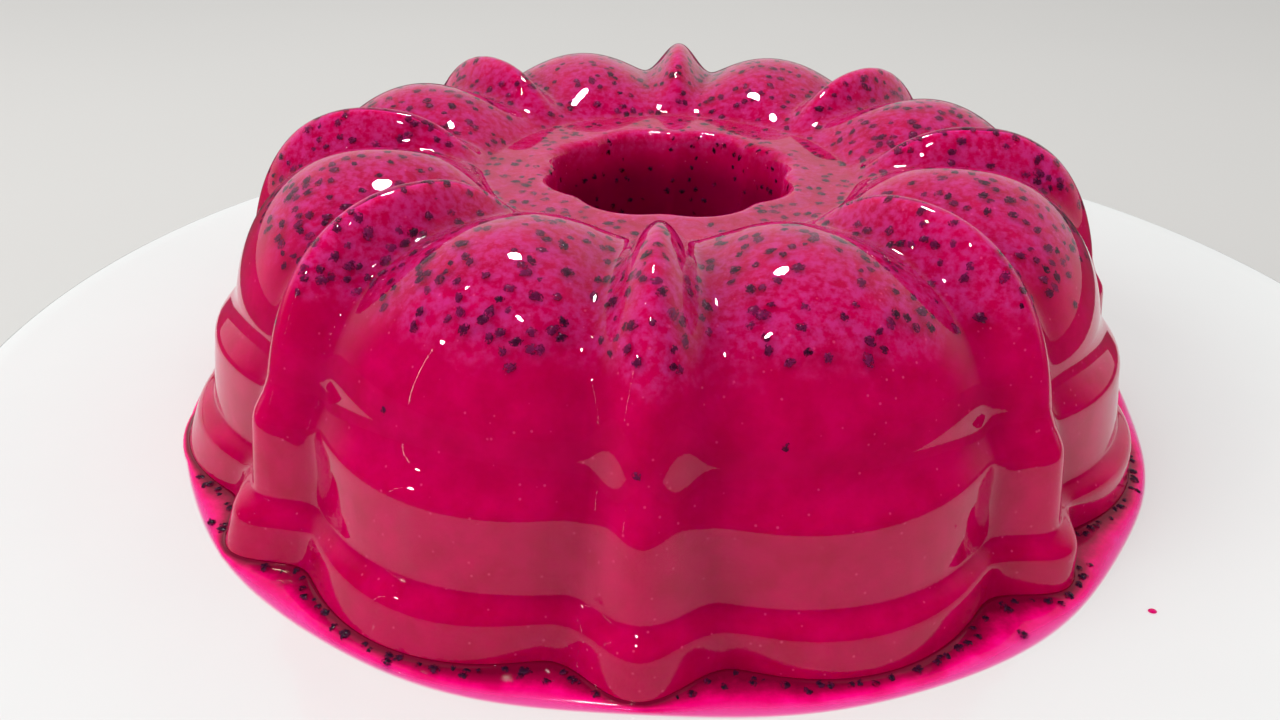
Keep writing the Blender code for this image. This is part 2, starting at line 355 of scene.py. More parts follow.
def spunOutline(outline, sides, place):
    # Turns a closed outline right round, then sets each point by its station and angle
    form = bmesh.new()
    station = form.verts.layers.int.new("station")
    corners = [form.verts.new((0.0, -radius, height)) for radius, height in outline]
    for number, corner in enumerate(corners):
        corner[station] = number
        form.edges.new((corners[number - 1], corner))
    bmesh.ops.spin(form, geom=form.verts[:] + form.edges[:], cent=(0, 0, 0), axis=(0, 0, 1),
                   dvec=(0, 0, 0), angle=2 * math.pi, steps=sides, use_merge=True)
    for corner in form.verts:
        angle = math.atan2(corner.co.x, -corner.co.y)
        corner.co = place(corner[station], crowdedAngle(angle))
    bmesh.ops.recalc_face_normals(form, faces=form.faces[:])
    return form


def ringForm(fineness, sides):
    sections = [ringSection(sizes, fineness) for sizes in (valley, lobe, ridge)]

    def place(number, angle):
        ends = [section[number] for section in sections]
        shares = fluteShares(angle, ridgeWidth(*ends[0]))
        radius, height = (blended(*(end[i] for end in ends), shares) for i in (0, 1))
        return placedPoint(spreadFoot(radius, height, angle), height, angle)

    return spunOutline(sections[0], sides, place)


def makeSkin(material):
    form = ringForm(3, ring["sides"])
    form.normal_update()
    for corner in form.verts:
        height = corner.co.z - ringAxis.z
        wander = noise.noise(corner.co * ring["unevenScale"])
        lift = ring["unevenness"] * wander * float(smoothStep(*ring["evenFoot"], height))
        corner.co += corner.normal * lift
    return finishPiece("jelly_skin", form, material, ["pudding"])


core = {
    "sides": 288,
    "lobeDepth": 0.0020,  # how far the cloudy body lies under the clear skin, where the seeds are
    "ridgeDepth": 0.0011,
    "plainDepth": 0.00045,  # the same lower down and in the hole
    "footDepth": 0.00006,  # and right at the foot
    "sharpFoot": 0.0015,  # below this height the body isn't rounded off
    "patches": 0.00040,  # how much that depth wanders
    "patchScale": 130.0,
    "normalSmoothing": 5,
    "valleyShadeReach": 0.6,  # the share of a flute's height that the painted shade of a valley climbs
    # Each of these sets in between its two radii or heights
    "ridgeRadii": (0.045, 0.060),
    "seededHeights": (0.038, 0.048),
    "seededRadii": (0.030, 0.036),
    "footHeights": (0.001, 0.006),
    "valleyShadeRadii": (0.050, 0.066),
}


def skinDepth(position):
    away = position - ringAxis
    angle = math.atan2(away.x, -away.y)
    radius = math.hypot(away.x, away.y)
    onRidge = fluteShares(angle, ring["crestHalfAngle"])[0]
    onRidge *= float(smoothStep(*core["ridgeRadii"], radius))
    seeded = float(smoothStep(*core["seededHeights"], away.z) * smoothStep(*core["seededRadii"], radius))
    full = core["lobeDepth"] + (core["ridgeDepth"] - core["lobeDepth"]) * onRidge
    full += core["patches"] * noise.noise(position * core["patchScale"])
    aboveFoot = float(smoothStep(*core["footHeights"], away.z))
    plain = core["footDepth"] + (core["plainDepth"] - core["footDepth"]) * aboveFoot
    return plain + (full - plain) * seeded


def makeCore(material):
    form = ringForm(2, core["sides"])
    paintedValleyShade = form.verts.layers.float.new("paintedValleyShade")  # painted shade: 1 deep in a valley between the flutes, 0 on them
    form.normal_update()
    normals = {corner: corner.normal.copy() for corner in form.verts}
    for _ in range(core["normalSmoothing"]):
        normals = {
            corner: (sum((normals[edge.other_vert(corner)] for edge in corner.link_edges), Vector())
                     + normals[corner]).normalized()
            for corner in form.verts
        }
    for corner, normal in normals.items():
        away = corner.co - ringAxis
        angle, radius = math.atan2(away.x, -away.y), math.hypot(away.x, away.y)
        onFlute = sum(fluteShares(angle, ridgeWidth(radius, away.z)))
        outside = float(smoothStep(*core["valleyShadeRadii"], radius))
        corner[paintedValleyShade] = max(0.0, 1 - onFlute / core["valleyShadeReach"]) * outside
        if away.z < core["sharpFoot"]:
            normal.z = 0.0
        corner.co -= normal * skinDepth(corner.co)
    rounded = [corner for corner in form.verts if corner.co.z - ringAxis.z > core["sharpFoot"]]
    bmesh.ops.smooth_vert(form, verts=rounded, factor=0.5, use_axis_x=True, use_axis_y=True,
                          use_axis_z=True)
    return finishPiece("jelly_core", form, material)


# The seeds

seeds = {
    "count": 2350,
    "length": 0.00215,
    "width": 0.00180,
    "thickness": 0.00080,
    "narrowing": 0.30,  # how much narrower one end is
    "roughness": 0.15,  # how uneven each seed's own outline is
    "sizeSpread": 0.16,
    "sizeRange": (0.6, 1.35),
    "spacing": 0.00170,
    "tilt": 22.0,  # most degrees that a seed leans out of the skin's plane
    "leastDepth": 0.00060,  # from the skin to a seed's middle
    "leastCover": 0.00017,  # and to its nearest point
    "coverSlack": 0.8,  # a seed that keeps less than this share of it is left out
    "mostBump": 1.6,
    "depthBias": 0.8,  # below 1 more of them lie deep
    "pastBody": 0.00010,  # how far the deepest middle lies past the cloudy body's face
    "jitter": 0.00025,
    "lowerEdge": 0.0470,  # the height above the foot where they start, at the ring's sides
    "edgeRise": 0.0040,  # how much higher that is in front, and lower behind
    "edgeSoftness": 0.0012,
    "edgeRaggedness": 0.004,
    "raggedScale": 70.0,
    "topHeights": (0.0565, 0.0620),  # between these they thin out by topThinning
    "topThinning": 0.45,
    "crestRadius": 0.0665,  # inside it the share on the crown holds, and inside rimRadius the wall's
    "rimRadius": 0.0300,
    "crownShare": 0.55,
    "wallShare": 0.50,
    "wallHeights": (0.010, 0.036),
    "patchScale": 160.0,
    "patchShift": (5, 3, 1),
    "patchiness": 0.9,
    "patchRange": (0.15, 2.0),
    "strays": 26,
    "strayHeights": (0.031, 0.047),
    "strayFacing": -0.2,  # the least upward part of the skin's direction there
    "shadedSeedRim": 0.003,  # the seeds are clear of haze as far as this from the hole, so they stay dark there: painted shade to go with the hole's
    "seed": 11,
}


def seedForm():
    # One flattened drop, a little narrower at one end
    form = bmesh.new()
    bmesh.ops.create_uvsphere(form, u_segments=8, v_segments=6, radius=0.5)
    for corner in form.verts:
        narrowing = 1 - seeds["narrowing"] * (corner.co.z + 0.5) ** 2
        corner.co = Vector((corner.co.x * seeds["width"] * narrowing,
                            corner.co.y * seeds["thickness"] * narrowing,
                            corner.co.z * seeds["length"]))
    return form


def joinedCopies(name, form, placements, hazes, material):
    # Copies of one small form as a single mesh, each a little uneven and with its own haze.
    # The rim attribute grows from 0 at the middle of a copy's flat side to 1 at its outline.
    form.verts.ensure_lookup_table()
    corners = np.array([corner.co[:] for corner in form.verts])
    loops = [[corner.index for corner in face.verts] for face in form.faces]
    rng = np.random.default_rng(seeds["seed"] + len(name))
    rims = np.hypot(corners[:, 0] / seeds["width"], corners[:, 2] / seeds["length"]) * 2
    form.free()
    points, faces = [], []
    for number, placement in enumerate(placements):
        bumps = np.clip(rng.normal(size=(len(corners), 1)), -seeds["mostBump"], seeds["mostBump"])
        uneven = corners * (1 + seeds["roughness"] * bumps)
        turned = uneven @ np.array(placement.to_3x3()).T + np.array(placement.translation)
        points.append(turned)
        shift = number * len(corners)
        faces += [[index + shift for index in loop] for loop in loops]
    mesh = bpy.data.meshes.new(name)
    mesh.from_pydata(np.concatenate(points).tolist(), [], faces)
    haze = mesh.attributes.new("haze", "FLOAT", "POINT")
    haze.data.foreach_set("value", np.repeat(np.array(hazes, np.float32), len(corners)))
    rim = mesh.attributes.new("rim", "FLOAT", "POINT")
    rim.data.foreach_set("value", np.tile(rims.astype(np.float32), len(placements)))
    mesh.shade_smooth()
    mesh.materials.append(material)
    piece = bpy.data.objects.new(name, mesh)
    collection.objects.link(piece)
    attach(piece, "root")
    print("made", name, len(placements), "pieces,", len(faces), "faces")
    return piece


def surfaceSamples(piece):
    # Every face's centre, outward direction and area, always in the same order
    mesh = piece.data
    count = len(mesh.polygons)
    arrays = []
    for field, width in (("center", 3), ("normal", 3), ("area", 1)):
        values = np.empty(count * width, np.float32)
        mesh.polygons.foreach_get(field, values)
        arrays.append(values.reshape(count, width) if width > 1 else values)
    order = np.lexsort(np.round(arrays[0], 6).T)
    return [values[order] for values in arrays]


def seedDensity(centres):
    # The seeds sank to the mould's crown, so they fill the ring's upper part, with a ragged lower edge
    away = centres - np.array(ringAxis)
    radius = np.hypot(away[:, 0], away[:, 1])
    height = away[:, 2]
    points = [Vector(point) for point in centres.tolist()]
    shift = Vector(seeds["patchShift"])
    ragged = np.array([noise.noise(point * seeds["raggedScale"]) for point in points])
    patchy = np.array([noise.noise(point * seeds["patchScale"] + shift) for point in points])
    lowerEdge = seeds["lowerEdge"] - seeds["edgeRise"] * away[:, 1] / np.maximum(radius, 0.001)
    soft = seeds["edgeSoftness"]
    outer = smoothStep(-soft, soft, height - lowerEdge + seeds["edgeRaggedness"] * ragged)
    outer *= 1 - seeds["topThinning"] * smoothStep(*seeds["topHeights"], height)
    wall = seeds["wallShare"] * smoothStep(*seeds["wallHeights"], height)
    inner = np.where(radius > seeds["rimRadius"], seeds["crownShare"], wall)
    density = np.where(radius > seeds["crestRadius"], outer, inner)
    return density * np.clip(1 + seeds["patchiness"] * patchy, *seeds["patchRange"])


def seedCover(placement, surface):
    # How far under the skin the nearest tip of a seed lies, at its most uneven
    swell = (1 + seeds["roughness"] * seeds["mostBump"]) / 2
    width, thickness, length = (seeds[name] * swell for name in ("width", "thickness", "length"))
    tips = ((width, 0, 0), (-width, 0, 0), (0, thickness, 0), (0, 0, length), (0, 0, -length))
    covers = []
    for tip in tips:
        point = placement @ Vector(tip)
        near, normal, _, away = surface.find_nearest(point)
        covers.append(math.copysign(away, (near - point).dot(normal)))
    return min(covers)


def makeSeeds(skin, material):
    rng = np.random.default_rng(seeds["seed"])
    surface = BVHTree.FromPolygons([corner.co for corner in skin.data.vertices],
                                   [face.vertices for face in skin.data.polygons])
    centres, normals, areas = surfaceSamples(skin)
    weights = seedDensity(centres) * areas
    picked = rng.choice(len(weights), seeds["count"] * 2, p=weights / weights.sum())
    height = centres[:, 2] - ringAxis.z
    lowest, highest = seeds["strayHeights"]
    inBand = (height > lowest) & (height < highest)
    low = np.flatnonzero(inBand & (normals[:, 2] > seeds["strayFacing"]))
    picked = np.concatenate([rng.choice(low, seeds["strays"]), picked])
    taken, cell = {}, seeds["spacing"]
    placements, hazes = [], []
    for face in picked:
        if len(placements) >= seeds["count"]:
            break
        size = float(np.clip(1 + seeds["sizeSpread"] * rng.normal(), *seeds["sizeRange"]))
        lean = math.radians(seeds["tilt"]) * rng.uniform(-1, 1)
        spin = rng.uniform(0, 2 * math.pi)
        share = rng.uniform() ** seeds["depthBias"]
        jitter = Vector(rng.normal(0, seeds["jitter"], 3))
        middle, normal = Vector(centres[face]) + jitter, Vector(normals[face])
        deepest = skinDepth(middle) + seeds["pastBody"]
        depth = seeds["leastDepth"] + (deepest - seeds["leastDepth"]) * share
        middle -= normal * max(depth, seeds["leastDepth"])
        home = [int(math.floor(value / cell)) for value in middle]
        near = [taken.get((home[0] + i, home[1] + j, home[2] + k))
                for i in (-1, 0, 1) for j in (-1, 0, 1) for k in (-1, 0, 1)]
        if any(other and (other - middle).length < cell for other in near):
            continue
        taken[tuple(home)] = middle
        facing = normal.to_track_quat("Y", "Z").to_matrix().to_4x4()
        turned = Matrix.Rotation(spin, 4, "Y") @ Matrix.Rotation(lean, 4, "X")
        scale = Matrix.Scale(size, 4)
        placement = Matrix.Translation(middle) @ facing @ turned @ scale
        missing = seeds["leastCover"] - seedCover(placement, surface)
        if missing > 0:
            placement = Matrix.Translation(-normal * missing) @ placement
            if seedCover(placement, surface) < seeds["leastCover"] * seeds["coverSlack"]:
                continue
        placements.append(placement)
        # In and near the hole the seeds keep no pale haze: painted shade, like the hole's
        inHole = (middle - ringAxis).to_2d().length < valley["rim"] + seeds["shadedSeedRim"]
        hazes.append(0.0 if inHole else share)
    return joinedCopies("jelly_seeds", seedForm(), placements, hazes, material)


# The syrup

syrup = {
    "radius": 0.1154,
    "waves": ((1, 0.0004, 41.0), (2, 0.0008, -10.0), (5, 0.0009, -172.0), (8, 0.0004, -151.0),
              (13, 0.0003, 162.0)),  # waves round the edge, height, and the angle of a crest
    "leastWidth": 0.0012,
    "depth": 0.0007,
    "climb": 0.0011,
    "climbFall": 7,  # how fast that climb up the ring's foot dies away
    "edgePower": 4,  # higher keeps the film at full depth nearer to its edge
    "edgeDepth": 0.02,  # the share of its depth that the film has right at its edge
    "gap": 0.00005,
    "sides": 432,
    "steps": 14,
    "holeRadius": 0.020,
    "holeWidth": 0.0060,  # the syrup that has run into the hole
    "holeWaves": ((3, 0.0010, 1.0), (5, 0.0006, 2.2)),
    "holeSides": 144,
    "holeSteps": 10,
    "dropAngle": math.radians(48.2),
    "dropRadius": 0.1257,
    "dropSize": 0.0008,
    "dropShape": (1.0, 0.8, 0.45),
    "dropSunk": 0.0002,
    "dropInward": 0.3,  # the part of the film that its colour is like
    "seedCount": 300,
    "seedStagger": 0.7,  # how far a seed strays from even steps round the ring, in steps
    "seedGap": 0.0007,  # from the ring's foot
    "seedWander": 0.14,  # how far out they lie, as a spread of shares of the film's width
    "farWander": 0.40,  # the same for one seed in every farEvery
    "farEvery": 6,
    "mostOut": 0.8,
    "seedHeights": (0.0005, 0.0008),
    "seedLean": 25,
    "seedSizeSpread": 0.12,
    "seedMargin": 0.0013,  # from a seed's middle to the film's edge, at least
    "seedRoom": 0.0025,  # where the film is narrower than this it holds no seeds
    "seed": 5,
}


def ringRadius(angle, height):
    levels = (("base", 0.0), ("lowerTop", ring["lowerTop"]))
    atBase, atTop = (
        blended(valley[level], lobe[level], ridge[level],
                fluteShares(angle, ridgeWidth(valley[level], levelHeight)))
        for level, levelHeight in levels
    )
    radius = atBase + (atTop - atBase) * height / ring["lowerTop"]
    return spreadFoot(radius, height, angle)


def syrupRadius(angle):
    radius = syrup["radius"]
    for waves, height, crestAngle in syrup["waves"]:
        radius += height * math.cos(waves * angle - math.radians(crestAngle))
    return max(radius, ringRadius(angle, 0.0) + syrup["leastWidth"])


def syrupProfile(steps):
    # Shares of the way out from the ring, with heights: a film that swells, then rounds off
    top = []
    for step in range(steps + 1):
        share = 1 - step / steps
        swell = math.sqrt(max(0.0, 1 - share ** syrup["edgePower"]))
        climb = (syrup["climb"] - syrup["depth"]) * math.exp(-share * syrup["climbFall"])
        fullness = syrup["edgeDepth"] + (1 - syrup["edgeDepth"]) * swell
        top.append((share, syrup["depth"] * fullness + climb))
    return [(0.0, 0.0), (1.0, 0.0)] + top


def edgeShare(form, middle, innerAt, outerAt):
    # Writes how far each point is from the film's edge, 0 there and 1 at the ring
    share = form.verts.layers.float.new("inward")
    for corner in form.verts:
        away = corner.co - middle
        angle = math.atan2(away.x, -away.y)
        radius = math.hypot(away.x, away.y)
        inner, outer = innerAt(angle), outerAt(angle)
        corner[share] = min(1.0, max(0.0, (outer - radius) / (outer - inner)))


def makeSyrup(material):
    stations = syrupProfile(syrup["steps"])
    outline = [(syrup["radius"] + syrup["leastWidth"] * share, height) for share, height in stations]

    def place(number, angle):
        share, height = stations[number]
        inner = ringRadius(angle, height) + syrup["gap"]
        return placedPoint(inner + share * (syrupRadius(angle) - inner), height, angle)

    form = spunOutline(outline, syrup["sides"], place)
    edgeShare(form, ringAxis, lambda angle: ringRadius(angle, 0.0), syrupRadius)
    return finishPiece("syrup_film", form, material, ["syrup"])


def makeHoleSyrup(material):
    # The same film inside the hole, its edge towards the middle
    stations = syrupProfile(syrup["holeSteps"])
    outline = [(syrup["holeRadius"] - syrup["leastWidth"] * share, height) for share, height in stations]

    def wallAt(angle):
        sizes = (valley["holeFoot"], lobe["holeFoot"], ridge["holeFoot"])
        return blended(*sizes, fluteShares(angle, ring["holeHalfAngle"])) - syrup["gap"]

    def edgeAt(angle):
        wave = 0.0
        for waves, height, start in syrup["holeWaves"]:
            wave += math.cos(waves * angle + start) * height
        return wallAt(angle) - syrup["holeWidth"] + wave

    def place(number, angle):
        share, height = stations[number]
        wall = wallAt(angle)
        return placedPoint(wall + share * (edgeAt(angle) - wall), height, angle)

    form = spunOutline(outline, syrup["holeSides"], place)
    edgeShare(form, ringAxis, wallAt, edgeAt)
    return finishPiece("syrup_in_hole", form, material)


def makeDrop(material):
    form = bmesh.new()
    bmesh.ops.create_uvsphere(form, u_segments=20, v_segments=10, radius=1.0)
    bmesh.ops.bisect_plane(form, geom=form.verts[:] + form.edges[:] + form.faces[:],
                           plane_co=(0, 0, 0), plane_no=(0, 0, -1), clear_outer=True)
    bmesh.ops.holes_fill(form, edges=[edge for edge in form.edges if edge.is_boundary], sides=0)
    sizes = [syrup["dropSize"] * share for share in syrup["dropShape"]]
    middle = placedPoint(syrup["dropRadius"], -syrup["dropSunk"], syrup["dropAngle"])
    bmesh.ops.scale(form, vec=sizes, verts=form.verts[:])
    bmesh.ops.translate(form, vec=middle, verts=form.verts[:])
    share = form.verts.layers.float.new("inward")
    for corner in form.verts:
        corner[share] = syrup["dropInward"]
    bmesh.ops.recalc_face_normals(form, faces=form.faces[:])
    return finishPiece("syrup_drop", form, material)


def makeSyrupSeeds(material):
    rng = np.random.default_rng(syrup["seed"])
    placements, hazes = [], []
    for number in range(syrup["seedCount"]):
        stagger = rng.uniform(-syrup["seedStagger"], syrup["seedStagger"])
        angle = 2 * math.pi * (number + stagger) / syrup["seedCount"]
        inner, outer = ringRadius(angle, 0.0) + syrup["seedGap"], syrupRadius(angle)
        wander = syrup["seedWander"] if number % syrup["farEvery"] else syrup["farWander"]
        share = min(syrup["mostOut"], abs(rng.normal(0.0, wander)))
        if outer - inner < syrup["seedRoom"]:
            continue
        out = min(share * (outer - inner), outer - inner - syrup["seedMargin"])
        middle = placedPoint(inner + out, rng.uniform(*syrup["seedHeights"]), angle)
        spin = Matrix.Rotation(rng.uniform(0, 2 * math.pi), 4, "Z")
        lean = rng.uniform(-syrup["seedLean"], syrup["seedLean"])
        turned = spin @ Matrix.Rotation(math.radians(90 + lean), 4, "X")
        scale = Matrix.Scale(1 + syrup["seedSizeSpread"] * rng.normal(), 4)
        placements.append(Matrix.Translation(middle) @ turned @ scale)
        hazes.append(0.0)
    return joinedCopies("syrup_seeds", seedForm(), placements, hazes, material)


# The plate

plate = {
    "radius": 0.1760,
    "wellHeight": 0.0100,
    "thickness": 0.0052,
    "wellRadius": 0.1230,
    "rimRise": 0.0067,
    "rimCurve": 1.35,
    "footOuter": 0.1040,
    "footInner": 0.0970,
    "footSplay": 0.0015,
    "sides": 216,
}


def makePlate(material):
    well, lip = plate["wellHeight"], plate["thickness"] / 2
    rimTop, rimStart = well + plate["rimRise"], plate["radius"] - lip
    top = [(0.0, well)] + straightPoints((0.0, well), (plate["wellRadius"], well), 10)
    bottom = []
    for step in range(1, 15):
        share = step / 14
        radius = plate["wellRadius"] + (rimStart - plate["wellRadius"]) * share
        height = well + plate["rimRise"] * share ** plate["rimCurve"]
        top.append((radius, height))
        bottom.append((radius, height - plate["thickness"]))
    turns = [math.radians(90 - 15 * step) for step in range(1, 12)]
    rounded = [(rimStart + lip * math.cos(a), rimTop - lip + lip * math.sin(a)) for a in turns]
    under = well - plate["thickness"]
    foot = [(plate["footOuter"] + plate["footSplay"], under), (plate["footOuter"], 0.0),
            (plate["footInner"], 0.0), (plate["footInner"] - plate["footSplay"], under), (0.0, under)]
    profile = top + rounded + bottom[::-1] + [(plate["wellRadius"], under)] + foot
    form = bmesh.new()
    corners = [form.verts.new((radius, 0.0, height)) for radius, height in profile]
    for first, second in zip(corners, corners[1:]):
        form.edges.new((first, second))
    bmesh.ops.spin(form, geom=form.verts[:] + form.edges[:], cent=(0, 0, 0), axis=(0, 0, 1),
                   dvec=(0, 0, 0), angle=2 * math.pi, steps=plate["sides"], use_merge=True)
    bmesh.ops.remove_doubles(form, verts=form.verts[:], dist=0.00001)
    bmesh.ops.recalc_face_normals(form, faces=form.faces[:])
    return finishPiece("plate_glazed", form, material, ["plate"], 32)


# Materials

jellyLook = {
    "skinTint": (1.0, 0.70, 0.85),
    "skinRoughness": 0.01,
    "skinIor": 1.38,
    "shadowTint": (1.0, 0.72, 0.86),
    "deep": (0.46, 0.000, 0.077),
    "bright": (0.56, 0.000, 0.114),
    "hazy": (0.56, 0.042, 0.250),
    "speck": (0.90, 0.17, 0.42),
    # painted shade: the deep red put on the hole's wall, darkest deep down
    "hole": (0.25, 0.0, 0.050),
    "valley": (0.80, 0.7, 0.80),  # painted shade: how much of each colour is left deep in a valley
    "glowScale": 0.0035,
    "glowSpread": (1.0, 0.12, 0.35),
    "hazeHeights": (0.0494, 0.0556),  # above the ring's foot, where the haze sets in
    "hazeRaggedness": 0.005,
    "hazeMottle": (0.40, 0.62),
    "speckShare": 0.30,
    "holeShadeRadii": (0.0285, 0.0305),  # where the hole's painted shade ends
    "holeShadeHeights": (0.0485, 0.0390),  # and where it sets in, going down
}


def letLightThrough(tree, shader, tint):
    # Light from the lamps, and light spread by what is under the surface, goes straight through
    path = addNode(tree, "ShaderNodeLightPath")
    through = mathNode(tree, "MAXIMUM", path.outputs["Is Shadow Ray"], path.outputs["Is Diffuse Ray"])
    clear = addNode(tree, "ShaderNodeBsdfTransparent", {"Color": (*tint, 1.0)})
    mixed = addNode(tree, "ShaderNodeMixShader", {
        0: through, 1: shader.outputs["BSDF"], 2: clear.outputs["BSDF"]})
    tree.links.new(mixed.outputs["Shader"], tree.nodes["Material Output"].inputs["Surface"])


def makeSkinMaterial(ripple):
    material, tree, shader = newMaterial("jellySkin")
    shader.inputs["Base Color"].default_value = (*jellyLook["skinTint"], 1.0)
    shader.inputs["Roughness"].default_value = jellyLook["skinRoughness"]
    shader.inputs["IOR"].default_value = jellyLook["skinIor"]
    shader.inputs["Transmission Weight"].default_value = 1.0
    waves = useGroup(tree, ripple, Scale=70.0, Height=0.0003, Strength=0.10)
    tree.links.new(waves.outputs["Normal"], shader.inputs["Normal"])
    letLightThrough(tree, shader, jellyLook["shadowTint"])
    return material


def makeCoreMaterial(pulp):
    material, tree, shader = newMaterial("jellyBody")
    cloudy = useGroup(tree, pulp, Cloud_Scale=140.0, Fibre_Scale=600.0, Speck_Scale=700.0)
    height = addNode(tree, "ShaderNodeSeparateXYZ", {"Vector": objectCoordinates(tree)}).outputs["Z"]
    # A haze of pulp sets in where the seeds are
    ragged = mathNode(tree, "MULTIPLY", cloudy.outputs["Cloud"], jellyLook["hazeRaggedness"])
    level = mathNode(tree, "ADD", height, ragged)
    hazeStart, hazeFull = (ringAxis.z + rise for rise in jellyLook["hazeHeights"])
    upper = addNode(tree, "ShaderNodeMapRange", {
        "Value": level, "From Min": hazeStart, "From Max": hazeFull})
    body = mixColours(tree, cloudy.outputs["Cloud"], jellyLook["deep"], jellyLook["bright"])
    thin, thick = jellyLook["hazeMottle"]
    mottled = rampNode(tree, cloudy.outputs["Fibre"], [(thin, (0, 0, 0)), (thick, (1, 1, 1))])
    hazeShare = mathNode(tree, "MULTIPLY", upper.outputs[0], mottled)
    hazy = mixColours(tree, hazeShare, body, jellyLook["hazy"])
    specked = mathNode(tree, "MULTIPLY", cloudy.outputs["Speck"], jellyLook["speckShare"])
    speckled = mixColours(tree, specked, hazy, jellyLook["speck"])
    # Painted shade: down in the hole the jelly's colour darkens to deep red, as little light comes
    # through it there
    centred = addNode(tree, "ShaderNodeMapping", {
        "Vector": objectCoordinates(tree), "Location": (-ringAxis.x, 0.0, 0.0), "Scale": (1.0, 1.0, 0.0)})
    radius = addNode(tree, "ShaderNodeVectorMath", {0: centred.outputs[0]}, operation="LENGTH")
    inside, outside = jellyLook["holeShadeRadii"]
    inHole = addNode(tree, "ShaderNodeMapRange", {
        "Value": radius.outputs["Value"], "From Min": inside, "From Max": outside,
        "To Min": 1.0, "To Max": 0.0})
    holeTop, holeDark = (ringAxis.z + rise for rise in jellyLook["holeShadeHeights"])
    sunk = addNode(tree, "ShaderNodeMapRange", {
        "Value": height, "From Min": holeTop, "From Max": holeDark}, interpolation_type="SMOOTHSTEP")
    shaded = mathNode(tree, "MULTIPLY", inHole.outputs[0], sunk.outputs[0])
    withHoleShade = mixColours(tree, shaded, speckled, jellyLook["hole"])
    # Painted shade: the body's colour is darker in the valleys between the flutes
    paintedValleyShade = addNode(tree, "ShaderNodeAttribute", attribute_name="paintedValleyShade").outputs["Fac"]
    colour = mixColours(tree, paintedValleyShade, withHoleShade, jellyLook["valley"], "MULTIPLY")
    tree.links.new(colour, shader.inputs["Base Color"])
    shader.inputs["Roughness"].default_value = 0.6
    shader.inputs["Specular IOR Level"].default_value = 0.0
    shader.inputs["Subsurface Weight"].default_value = 1.0
    shader.inputs["Subsurface Radius"].default_value = jellyLook["glowSpread"]
    shader.inputs["Subsurface Scale"].default_value = jellyLook["glowScale"]
    return material


seedLook = {
    "coat": ((0.35, (0.004, 0.002, 0.008)), (0.75, (0.040, 0.008, 0.035))),
    "coatScale": 1900.0,
    "pulp": (0.30, 0.018, 0.14),
    "deepPulp": 0.50,  # how much pulp lies over the deepest seeds
    "rimPulp": 0.40,  # and over each one's outline
    "shreds": 3.2,
    "rimStart": 0.45,  # from here out to its outline, at 1, a seed fades away
}


def makeSeedMaterial():
    material, tree, shader = newMaterial("seedCoat")
    haze = addNode(tree, "ShaderNodeAttribute", attribute_name="haze").outputs["Fac"]
    mottle = addNode(tree, "ShaderNodeTexNoise", {
        "Vector": objectCoordinates(tree), "Scale": seedLook["coatScale"], "Detail": 3.0})
    coat = rampNode(tree, mottle.outputs["Fac"], seedLook["coat"])
    rim = addNode(tree, "ShaderNodeAttribute", attribute_name="rim").outputs["Fac"]
    clouded = mathNode(tree, "MULTIPLY", haze, seedLook["deepPulp"])
    pulpy = mathNode(tree, "MULTIPLY", mathNode(tree, "MULTIPLY", rim, rim), seedLook["rimPulp"])
    covered = mathNode(tree, "ADD", clouded, pulpy, clamp=True)
    colour = mixColours(tree, covered, coat, seedLook["pulp"])
    tree.links.new(colour, shader.inputs["Base Color"])
    # Shreds of pulp cling to each seed, so that its outline is soft
    uneven = mathNode(tree, "SUBTRACT", mottle.outputs["Fac"], 0.5)
    shreds = mathNode(tree, "MULTIPLY", uneven, seedLook["shreds"])
    outline = mathNode(tree, "ADD", rim, shreds)
    cover = addNode(tree, "ShaderNodeMapRange", {
        "Value": outline, "From Min": seedLook["rimStart"], "From Max": 1.0, "To Min": 1.0,
        "To Max": 0.0})
    tree.links.new(cover.outputs[0], shader.inputs["Alpha"])
    shader.inputs["Roughness"].default_value = 0.25
    shader.inputs["Specular IOR Level"].default_value = 0.1
    return material


syrupLook = {
    # From the film's edge in to the ring: deeper red where the film is deeper, and darkest by the ring, a
    # painted shadow at the jelly's foot
    "depthAndShadowColours": ((0.0, (1.0, 0.060, 0.46)), (0.22, (1.0, 0.004, 0.27)), (0.40, (0.80, 0.000, 0.15)),
                (0.62, (0.38, 0.001, 0.058)), (0.86, (0.17, 0.001, 0.024))),
    "edgeCover": 0.0,
    "fullCoverAt": 0.38,  # the share of the way in where the plate stops showing through
    "unevenness": 0.22,
    "lightTint": (1.0, 0.35, 0.68),
}


def makeSyrupMaterial(pulp, ripple):
    material, tree, shader = newMaterial("syrupFilm")
    inward = addNode(tree, "ShaderNodeAttribute", attribute_name="inward").outputs["Fac"]
    cloudy = useGroup(tree, pulp, Cloud_Scale=160.0, Fibre_Scale=900.0, Speck_Scale=1100.0)
    cloud = mathNode(tree, "SUBTRACT", cloudy.outputs["Cloud"], 0.5)
    uneven = mathNode(tree, "MULTIPLY", cloud, syrupLook["unevenness"])
    depth = mathNode(tree, "ADD", inward, uneven, clamp=True)
    # The ramp follows the film's depth, and its darkest end by the ring is a painted shadow
    colour = rampNode(tree, depth, syrupLook["depthAndShadowColours"])
    tree.links.new(colour, shader.inputs["Base Color"])
    alpha = addNode(tree, "ShaderNodeMapRange", {
        "Value": inward, "From Min": 0.0, "From Max": syrupLook["fullCoverAt"],
        "To Min": syrupLook["edgeCover"], "To Max": 1.0})
    tree.links.new(alpha.outputs[0], shader.inputs["Alpha"])
    shader.inputs["Roughness"].default_value = 0.05
    shader.inputs["IOR"].default_value = 1.38
    waves = useGroup(tree, ripple, Scale=160.0, Height=0.0002, Strength=0.25)
    tree.links.new(waves.outputs["Normal"], shader.inputs["Normal"])
    letLightThrough(tree, shader, syrupLook["lightTint"])
    return material


glazeColours = ((0.3, (0.82, 0.85, 0.845)), (0.7, (0.84, 0.87, 0.865)))


